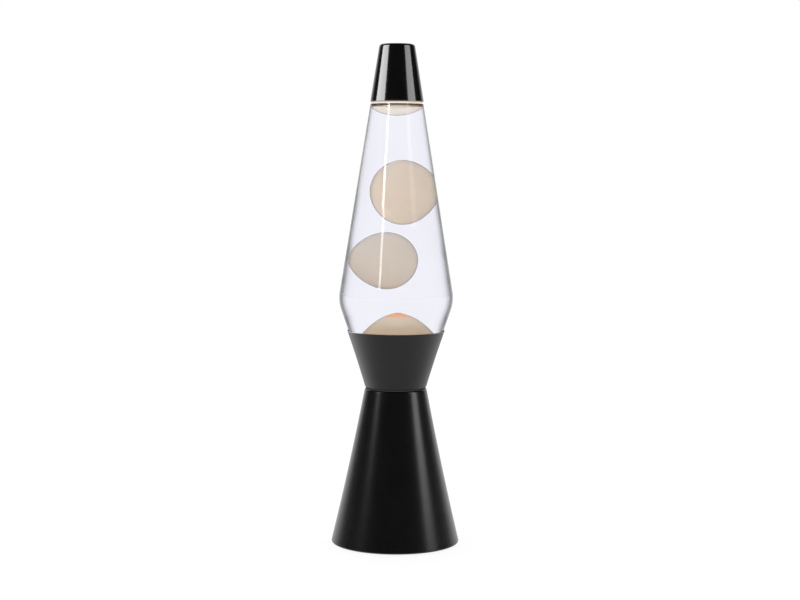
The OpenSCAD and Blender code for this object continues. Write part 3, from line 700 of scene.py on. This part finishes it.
def swept(name, path, radius, sides, materials, closed=False):
    """A wire of this radius along a path in millimetres."""
    path = [Vector(p) for p in path]
    count = len(path)
    points, faces = [], []
    side = None
    for i, p in enumerate(path):
        ahead = path[(i + 1) % count] if closed or i + 1 < count else p
        behind = path[i - 1] if closed or i else p
        along = (ahead - behind).normalized()
        side = along.orthogonal() if side is None else side - along * side.dot(along)
        side.normalize()
        other = along.cross(side)
        for k in range(sides):
            a = ROUND * k / sides
            points.append(p + radius * (math.cos(a) * side + math.sin(a) * other))
    for i in range(count if closed else count - 1):
        j = (i + 1) % count
        for k in range(sides):
            m = (k + 1) % sides
            faces.append([i * sides + k, i * sides + m, j * sides + m, j * sides + k])
    if not closed:
        faces.append(list(range(sides))[::-1])
        faces.append([(count - 1) * sides + k for k in range(sides)])
    piece = new_object(name, points, faces, materials)
    outward(piece)
    return piece


def threaded(name, inner, wall, low, high, crest, pitch, materials, flange=None):
    """A rolled screw shell: its wall follows a right-hand thread of this pitch between its plain ends."""
    segments, per_turn = 96, 14
    steps = int((high - low) / pitch * per_turn)
    plain = pitch * 0.45
    skins = []
    for skin in (0.0, wall):
        rings = []
        for k in range(steps + 1):
            z = low + (high - low) * k / steps
            fade = min(1, max(0, (z - low - plain * 0.4) / plain), max(0, (high - plain * 0.4 - z) / plain))
            rings.append([(inner + skin + fade * crest * (0.5 - 0.5 * math.cos(ROUND * (z / pitch - i / segments))),
                           ROUND * i / segments, z) for i in range(segments)])
        skins.append(rings)
    loops = skins[1] + skins[0][::-1]
    if flange:
        loops = [[(flange, a, low) for _, a, _ in loops[0]], [(flange, a, low + wall) for _, a, _ in loops[0]]] \
            + [[(r, a, low + wall) for r, a, _ in loops[0]]] + loops[1:]
    points = [(r * math.cos(a), r * math.sin(a), z) for loop in loops for r, a, z in loop]
    faces = []
    for k in range(len(loops)):
        n = (k + 1) % len(loops)
        for i in range(segments):
            j = (i + 1) % segments
            faces.append([k * segments + i, k * segments + j, n * segments + j, n * segments + i])
    piece = new_object(name, points, faces, materials)
    outward(piece)
    mark_sharp(piece, 50)
    return piece


def make_crown(material):
    """A pressed bottle closure: its skirt is crimped into flutes."""
    flutes, top_z, skirt_z, skirt_r, top_r, sheet = 21, 385.9, 379.9, 16.0, 14.2, 0.35
    outline = soft([
        (0, top_z), (top_r, top_z, 1.7), (skirt_r - 0.4, skirt_z + 0.9, 0.5), (skirt_r, skirt_z),
        (skirt_r - sheet, skirt_z), (skirt_r - 0.4 - sheet, skirt_z + 0.9, 0.5),
        (top_r - sheet, top_z - sheet, 1.35), (0, top_z - sheet)], 6)

    def crimp(x, y, z):
        r, a = math.hypot(x, y), math.atan2(y, x)
        if r < 1e-6:
            return x, y, z
        depth = 1.05 * min(1, max(0, (top_z - 1.4 - z) / (top_z - 1.4 - skirt_z))) ** 0.8
        wave = 0.5 + 0.5 * math.cos(flutes * a)
        pulled = r - depth * wave ** 1.4 if r > 12 else r
        return pulled * math.cos(a), pulled * math.sin(a), z

    piece = lathe("fluted_crown", outline, [material], flutes * 14, shape=crimp)
    return stand_for(piece, "bottle_unit", "tinplate", "crown_closure")


def make_heat_coil(material):
    """The ring of coiled wire in the bottom of the mound."""
    turns, ring_r, coil_r, wire_r = 62, 17.0, 1.2, 0.24
    path = []
    for i in range(turns * 10):
        a, b = ROUND * i / (turns * 10), ROUND * i / 10
        r = ring_r + coil_r * math.cos(b)
        path.append((MOUND_X + r * math.cos(a), r * math.sin(a), FLOOR_Z + 1.9 + coil_r * math.sin(b)))
    piece = swept("spread_coil", path, wire_r, 6, [material], closed=True)
    return stand_for(piece, "bottle_unit", "coil_steel", "wire_coil")


def make_bulb_parts(metal, brass, tungsten):
    """The bulb's screw cap, the lampholder's threaded shell that it turns in, and the filament."""
    tip_z, top_z, socket_z, pitch, crest = 76.0, 100.4, 73.05, 2.83, 0.7
    shell = threaded("bulb_thread", 5.85, 0.3, tip_z + 4, top_z, crest, pitch, [metal])
    stand_for(shell, "bulb", "bulb_metal", "bulb_cap")
    socket = threaded("socket_thread", 7.1, 0.32, socket_z, top_z - 2, crest, pitch, [brass], flange=9.6)
    stand_for(socket, "base", "brass", "holder_shell")
    span, coil_r, wire_r, turns, z = 10.0, 0.36, 0.07, 26, top_z + 20.9
    path = [(-span / 2 + span * i / (turns * 10), coil_r * math.cos(ROUND * i / 10),
             z + coil_r * math.sin(ROUND * i / 10)) for i in range(turns * 10 + 1)]
    piece = swept("coiled_filament", path, wire_r, 5, [tungsten])
    stand_for(piece, "bulb", "tungsten", "bulb_filament")
    return [shell, socket, piece]


def reflector_glass():
    """The bulb's glass: silvered inside up to its widest, and frosted over its dome."""
    tree, bsdf = principled("reflector_glass")
    silver = tree.height(0.1335, 0.1325)
    flow = tree.noise(60, detail=3)
    tree.link(tree.colours(flow, (0.3, (0.86, 0.86, 0.87)), (0.7, (0.94, 0.94, 0.94))), bsdf.inputs["Base Color"])
    tree.link(silver, bsdf.inputs["Metallic"])
    frost = tree.noise(1400, detail=2)
    tree.link(tree.mix_value(silver, tree.ramp_value(frost, 0.3, 0.7, 0.45, 0.6), 0.1), bsdf.inputs["Roughness"])
    tree.link(tree.bump(frost, 0.000008), bsdf.inputs["Normal"])
    set_constants(bsdf, Transmission_Weight=0.55, IOR=1.5)
    return tree.material


make_camera()
make_world()
make_floor()
bottle = make_bottle()
make_liquid()
make_waxes()
make_meniscus()

foot_paint = paint("foot_black", (0.0023, 0.0023, 0.0025), 0.25, 0.01, 2600, 0.000006)
cup_paint = paint("cup_grey", (0.0045, 0.0045, 0.0048), 0.42, 0.03, 2800, 0.00002, level=0.31)
# The cap's lower edge gets a brown band: painted glow of the lamp inside, seen below the cap.
cap_paint = paint("cap_black", (0.0032, 0.0032, 0.0035), 0.13, 0.015, 700, 0.000004,
                  rim_glow=(0.3546, 0.3556, (0.16, 0.075, 0.03)))
zinc = sheet_metal("zinc_steel", (0.62, 0.63, 0.64), 0.36, (0.42, 0.43, 0.45))
bright_steel = turned_metal("screw_steel", (0.62, 0.62, 0.62), 0.3, 0.08, (0.4, 0.4, 0.42))
brass = sheet_metal("brass", (0.80, 0.58, 0.26), 0.28, (0.52, 0.37, 0.18), grain=(1, 1, 4))
nickel = sheet_metal("nickel", (0.70, 0.69, 0.66), 0.25, (0.5, 0.49, 0.46))
tin = sheet_metal("tinplate", (0.76, 0.76, 0.77), 0.22, (0.55, 0.55, 0.57), grain=(1, 6, 1))
spring_wire = sheet_metal("coil_steel", (0.55, 0.55, 0.56), 0.3, (0.36, 0.36, 0.38))
grey_wire = sheet_metal("tungsten", (0.26, 0.26, 0.28), 0.4, (0.15, 0.15, 0.16))
solder = sheet_metal("solder", (0.58, 0.58, 0.6), 0.42, (0.36, 0.36, 0.38), grain=(1, 1, 1), scale=500, depth=0.00004)
phenolic = plastic("holder_plastic", (0.016, 0.014, 0.013), 0.3, 900, 0.00001)
porcelain = plastic("porcelain", (0.78, 0.75, 0.68), 0.18, 420, 0.00001)

for names, material in (
        (["foot_shell"], foot_paint),
        (["cup_shell"], cup_paint),
        (["cap"], cap_paint),
        (["waist_washer"], plastic("washer_fibre", (0.022, 0.021, 0.02), 0.85, 700, 0.00006)),
        (["base_plate"], plastic("base_plastic", (0.022, 0.022, 0.023), 0.55, 1100, 0.00004)),
        (["cord_gland"], plastic("gland_plastic", (0.014, 0.014, 0.014), 0.4, 900, 0.00002)),
        (["rubber_feet"], plastic("feet_rubber", (0.02, 0.02, 0.02), 0.78, 800, 0.00006, level=0.3)),
        (["plate_lugs", "holder_bridge"], zinc),
        (["plate_screws", "waist_screws", "waist_nuts", "nipple_nut"], bright_steel),
        (["holder_nipple", "terminal_screws", "holder_contact"], brass),
        (["holder_skirt"], phenolic),
        (["holder_core"], porcelain),
        (["bulb_envelope"], reflector_glass()),
        (["bulb_insulator"], plastic("black_glass", (0.008, 0.008, 0.011), 0.12, 300, 0.000006)),
        (["bulb_tip"], solder),
        # The stem glass greys at its edges with the same painted edge shade.
        (["bulb_stem"], clear_glass("stem_glass", 1.5, ((0.0, 0.98), (0.6, 0.92), (1.0, 0.5)), wavy=0.0001)),
        (["bulb_leads"], nickel),
        (["crown_liner"], plastic("liner_plastic", (0.72, 0.74, 0.77), 0.5, 600, 0.00002))):
    dress(names, material)
bright_parts = [make_crown(tin), make_heat_coil(spring_wire)] + make_bulb_parts(nickel, brass, grey_wire)
bright_parts += [nodes[n] for n in (
    "plate_lugs", "holder_bridge", "plate_screws", "waist_screws", "waist_nuts", "nipple_nut", "holder_nipple",
    "terminal_screws", "holder_contact", "bulb_envelope", "bulb_tip", "bulb_leads")]

foot, cup, cap = (nodes[n] for n in ("foot_shell", "cup_shell", "cap"))
# name, azimuth in degrees, the middle's height, width and height in metres, radiance, and what it lights
for light in (
        ("left_box", 78.5, 0.88, 0.99, 0.64, 13, [cup, cap]),
        ("right_box", -69, 0.77, 0.83, 0.86, 6, [cup, cap]),
        ("foot_left_box", 67, 0.68, 0.22, 0.56, 7.8, [foot]),
        ("foot_right_box", -71, 0.7, 0.42, 0.95, 4.3, [foot]),
        ("cup_left_box", 118, 0.4, 0.8, 0.7, 36, [cup]),
        ("cup_right_box", -118, 0.4, 0.8, 0.7, 16, [cup]),
        ("wide_strip", 36, 0.8, 0.14, 0.4, 22, [bottle]),
        ("thin_strip", 34, 0.532, 0.1, 0.136, 15, [bottle]),
        ("pale_box", -47, 0.7, 0.3, 0.28, 2.4, [bottle]),
        ("bright_left_box", 55, 0.75, 1.3, 1.3, 1.6, bright_parts),
        ("bright_right_box", -40, 0.85, 1.0, 1.3, 0.9, bright_parts)):
    area_light(*light)
